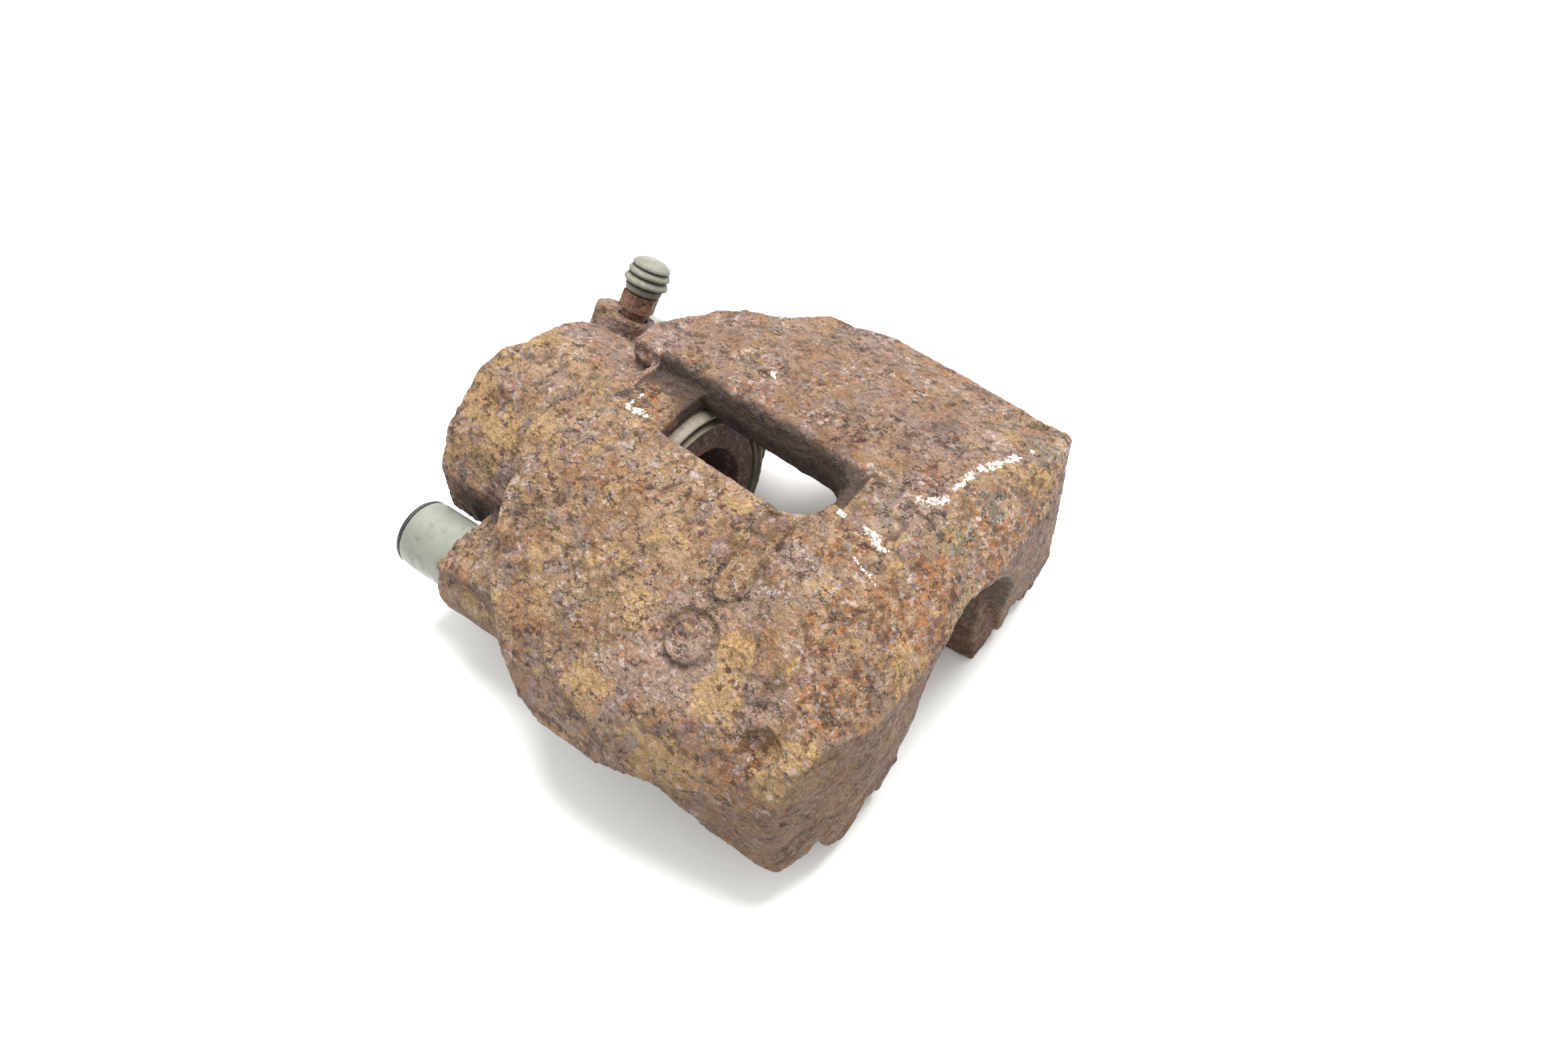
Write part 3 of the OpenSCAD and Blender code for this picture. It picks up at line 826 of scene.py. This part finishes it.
def make_piston():
    outline = [(0, -PISTON_LENGTH), (PISTON_R, -PISTON_LENGTH, 1.2), (PISTON_R, -6), (26.9, -6, 0.3),
               (26.9, -3, 0.3), (PISTON_R, -3), (PISTON_R, 0, 1.4), (CUP_R, 0, 0.9), (CUP_R, -CUP_DEPTH, 3),
               (0, -CUP_DEPTH)]
    obj = turned("piston", refined(rounded(outline, 0.2), 1.3), BORE_AXIS, 160)
    rim = lambda p: step(-2.5, -0.8, p[:, 1]) * step(28.4, 27.2, np.hypot(p[:, 0], p[:, 2]))
    bowl = lambda p: step(20.6, 20.2, np.hypot(p[:, 0], p[:, 2]))
    weather(obj, 0.35, 1.8, 5, lambda p: np.maximum(rim(p), bowl(p)))
    shade(obj)
    return piece("piston_shell", obj, rusted_steel("piston_rust", (74, 50, 44)), "piston", "piston", "piston")


def make_seal():
    back, front = GROOVE_Y[0] + 0.1, GROOVE_Y[1] - 0.1
    outer = GROOVE_R - 0.1
    outline = [(28.56, back, 0.4), (outer, back, 0.4), (outer, front, 0.4), (28.56, front, 0.4)]
    obj = turned("seal", refined(rounded(outline, 0.4), 0.8), BORE_AXIS, 128)
    shade(obj)
    return piece("square_cut_seal", obj, old_rubber("seal_rubber", (38, 38, 38), (60, 56, 50)), "housing",
                 "seal_rubber", "piston_seal")


def make_boot():
    outline = [(33.25, -9.6, 0.3), (33.25, -1.6, 1.2), (32.4, 0.4, 0.9), (31.3, -0.2, 0.7), (30.9, -3.9, 0.5),
               (30.1, -4.2, 0.4), (29.9, -0.4, 0.6), (29.3, 0.9, 0.5), (28.65, 0.5, 0.3), (28.6, -5.6, 0.3),
               (31.6, -5.7, 0.6), (31.9, -2.6, 0.3), (32.1, -8.4, 0.3), (31.2, -8.8, 0.3), (31.2, -9.6, 0.3)]
    obj = turned("boot", refined(rounded(outline, 0.4, 5), 0.6), BORE_AXIS, 160)
    p = positions(obj.data) / MM
    far = np.hypot(p[:, 0], p[:, 2])
    # painted shade deep in the fold between the boot's walls
    paint(obj.data, "hollow_shade", step(-1.2, -3.6, p[:, 1]) * step(31.7, 31.1, far) * step(29.6, 29.9, far))
    shade(obj, 60)
    made = piece("folded_dust_boot", obj, old_rubber("boot_rubber", (88, 81, 69), (112, 102, 85), 2.4, 0.6),
                 None, "boot_rubber", "dust_boot")
    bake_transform(made)
    return made


def make_boot_ring():
    outline = [(34.12, -10.45), (34.12, -3.6), (33.45, -3.6), (33.45, -9.75, 0.4), (31.05, -9.75),
               (31.05, -10.45)]
    obj = turned("ring", refined(rounded(outline, 0.2), 1.0), BORE_AXIS, 128)
    shade(obj)
    return piece("boot_retaining_ring", obj, rusted_steel("ring_zinc", (92, 86, 76)), "housing", "boot_ring",
                 "boot_ring")


def make_bleed_screw():
    outline = [(0, 29), (0.7, 29), (1.95, 30.6, 0.1), (1.95, 31.9, 0.1), (4.2, 32.2), (4.9, 33),
               (4.9, 43.2, 0), (4.3, 44, 0.2), (4.3, 47.2, 0.3), (7.2, 47.2, 0.8), (7.2, 52.8, 0.8),
               (4.2, 52.8, 0.4), (3.3, 53.4, 0.3), (3.3, 57.2, 0.2), (4.0, 58.4, 0.3), (3.2, 60.8, 0.3),
               (2.6, 61.4, 0.2), (1.1, 61.4, 0.1), (1.1, 34), (0, 33)]
    screw = thread(4.92, 1.0, 0.55)

    def shape(radius, height, angle):
        if 33 < height < 43.2 and radius > 3:
            return screw(height, angle)
        flats = 11 if 47 < height < 53 else 99
        return min(radius, hexagon(flats, angle) - 0.05)

    obj = turned("screw", refined(rounded(outline, 0.15), 0.2), BLEED_PLACE, 96, shape)

    def outside(p):
        far, out = from_bleed_axis(p)
        return step(43, 45, out) * step(2.4, 2.8, far)

    weather(obj, 0.16, 1.4, 15, outside)
    shade(obj)
    return piece("bleed_nipple", obj, rusted_steel("bleed_rust", (112, 80, 60)), "bleed_screw", "bleed_steel",
                 "bleed_screw")


def make_bleed_cap():
    outline = [(4.45, 53.25, 0.3), (5.7, 53.25, 0.5), (6.2, 54.2, 0.5), (6.35, 55.4, 0.4), (5.9, 55.9, 0.2),
               (7.5, 56.6, 0.3), (7.5, 57.5, 0.3), (6.5, 58.9, 0.3), (6.2, 59.1, 0.2), (7.15, 59.7, 0.3),
               (7.1, 60.5, 0.3), (6.2, 61.7, 0.3), (5.9, 61.9, 0.2), (6.5, 62.3, 0.3), (6.2, 63.3, 0.8),
               (4.4, 64.6, 1.2), (0, 64.95), (0, 62.6), (3.3, 62.4, 0.8), (4.45, 61.8, 0.5)]
    obj = turned("cap", refined(rounded(outline, 0.3), 0.45), BLEED_PLACE, 96)
    p = positions(obj.data) / MM
    far, out = from_bleed_axis(p)
    grooves = np.max([step(0.8, 0.1, np.abs(out - at)) for at in (55.9, 59.1, 61.9)], axis=0)
    # painted shade in the grooves between the cap's ribs
    paint(obj.data, "hollow_shade", grooves * step(7.0, 6.4, far))
    weather(obj, 0.05, 1.5, 25)
    shade(obj, 60)
    return piece("ribbed_bleed_cap", obj, old_rubber("cap_rubber", (92, 92, 80), (118, 115, 103), 1.6, 0.65),
                 "bleed_cap", "cap_rubber", "bleed_cap")


def make_bush(side):
    outline = [(11.1, -66.4, 0.5), (11.15, -50, 0.2), (11.0, -45.2, 0.3), (10.6, -45.1, 0.1),
               (10.6, -18, 0.1), (12.5, -17.9, 0.5), (12.5, -15.2, 0.6), (11.0, -14.2, 0.3),
               (11.0, -13.4, 0.3), (10.2, -12.1, 0.4), (5.6, -12.1, 0.3), (5.6, -61.6, 0.1),
               (7.15, -61.6, 0.1), (7.15, -66.4, 0.2)]
    obj = turned("bush", refined(rounded(outline, 0.2), 1.6), guide_axis(side), 112)
    weather(obj, 0.03, 5.0, 35)
    shade(obj)
    return piece(f"guide_bush_rubber_{side}", obj,
                 old_rubber(f"bush_rubber_{side}", (104, 106, 96), (120, 121, 110), 3.2, 0.42), "housing",
                 "bush_rubber", f"guide_bush_{side}")


def make_pin(side):
    outline = [(0, -54.5), (3.4, -53.2, 0), (3.4, -59.9, 0), (4.6, -59.9, 0.3), (5.45, -59.3, 0.3),
               (5.45, -10.4, 0.3), (4.4, -9.6, 0.1), (4.4, 5, 0.2), (3.5, 5.9, 0.2), (0, 5.9)]
    screw = thread(4.45, 1.25, 0.7)

    def shape(radius, height, angle):
        if -9.4 < height < 5.4 and radius > 3.45:
            return min(screw(height, angle), radius + 0.05)
        if height < -53 and radius < 3.45:
            return hexagon(7, angle) * radius / 3.4
        return radius

    obj = turned("pin", refined(rounded(outline, 0.1), 0.25), guide_axis(side), 72, shape)
    shade(obj)
    node = f"guide_pin_{side}"
    return piece(f"guide_pin_steel_{side}", obj, ground_steel(f"pin_steel_{side}"), node, "pin_steel", node)


def make_guide_cap(side):
    outline = [(0, -68.1), (4, -68.1, 0.4), (4.6, -68.7, 0.3), (9.8, -68.7, 1.0), (11.0, -67.9, 0.5),
               (11.0, -66.6, 0.3), (7.05, -66.55, 0.1), (7.05, -64.2, 0.5), (5.6, -64.2, 0.4),
               (5.4, -66.4, 0.4), (0, -66.4)]
    obj = turned("cap", refined(rounded(outline, 0.2), 0.8), guide_axis(side), 112)
    weather(obj, 0.04, 3.0, 45)
    shade(obj, 50)
    return piece(f"guide_end_cap_{side}", obj, black_plastic(f"cap_plastic_{side}"), f"guide_cap_{side}",
                 "end_cap_plastic", f"guide_cap_{side}")


# ---------------------------------------------------------------- the studio

CAMERA_AZIMUTH, CAMERA_ELEVATION, CAMERA_ROLL = 130.964, 51.160, -5.062
CAMERA_DISTANCE = 382.844 * MM
CAMERA_TARGET = Vector((-10.43, 25.883, 0)) * MM
CAMERA_LENS = 28.55
SENSOR = 36


def make_camera():
    """Stands the camera at the picture's viewing angle."""
    a, e, roll = (math.radians(v) for v in (CAMERA_AZIMUTH, CAMERA_ELEVATION, CAMERA_ROLL))
    back = Vector((math.sin(a) * math.cos(e), -math.cos(a) * math.cos(e), math.sin(e)))
    level = Vector((math.cos(a), math.sin(a), 0))
    upright = back.cross(level)
    right = level * math.cos(roll) + upright * math.sin(roll)
    up = upright * math.cos(roll) - level * math.sin(roll)
    data = bpy.data.cameras.new("camera")
    data.lens, data.sensor_width = CAMERA_LENS, SENSOR
    data.clip_start, data.clip_end = 0.01, 20
    cam = bpy.data.objects.new("camera", data)
    cam.matrix_world = (Matrix.Translation(CAMERA_TARGET + back * CAMERA_DISTANCE)
                        @ Matrix((right, up, back)).transposed().to_4x4())
    bpy.context.scene.collection.objects.link(cam)
    bpy.context.scene.camera = cam


def make_floor():
    side = 6.0
    z = LOW[2]
    corners = [(-side, -side, z), (side, -side, z), (side, side, z), (-side, side, z)]
    floor = new_object("paper_floor", corners, [(0, 1, 2, 3)])
    dress(floor, white_paper())


def area_light(name, place, aim, size, watts):
    data = bpy.data.lights.new(name, "AREA")
    data.shape, data.size, data.energy = "DISK", size, watts
    lamp = bpy.data.objects.new(name, data)
    lamp.location = place
    lamp.rotation_mode = "QUATERNION"
    lamp.rotation_quaternion = (Vector(aim) - Vector(place)).to_track_quat("-Z", "Y")
    bpy.context.scene.collection.objects.link(lamp)


def make_light():
    world = bpy.data.worlds.new("white_room")
    world.use_nodes = True
    world.node_tree.nodes["Background"].inputs["Color"].default_value = (1, 1, 1, 1)
    world.node_tree.nodes["Background"].inputs["Strength"].default_value = 1.15
    bpy.context.scene.world = world
    area_light("overhead", (-0.32, 0.0, 0.9), (0, 0, 0), 0.8, 27)
    bpy.context.scene.view_settings.view_transform = "Standard"


make_camera()
make_floor()
make_light()
body_shell = casting()
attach(body_shell, "housing")
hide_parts("caliper_housing")
make_piston()
make_seal()
make_boot()
make_boot_ring()
make_bleed_screw()
make_bleed_cap()
for side_name in GUIDE_X:
    make_bush(side_name)
    make_pin(side_name)
    make_guide_cap(side_name)
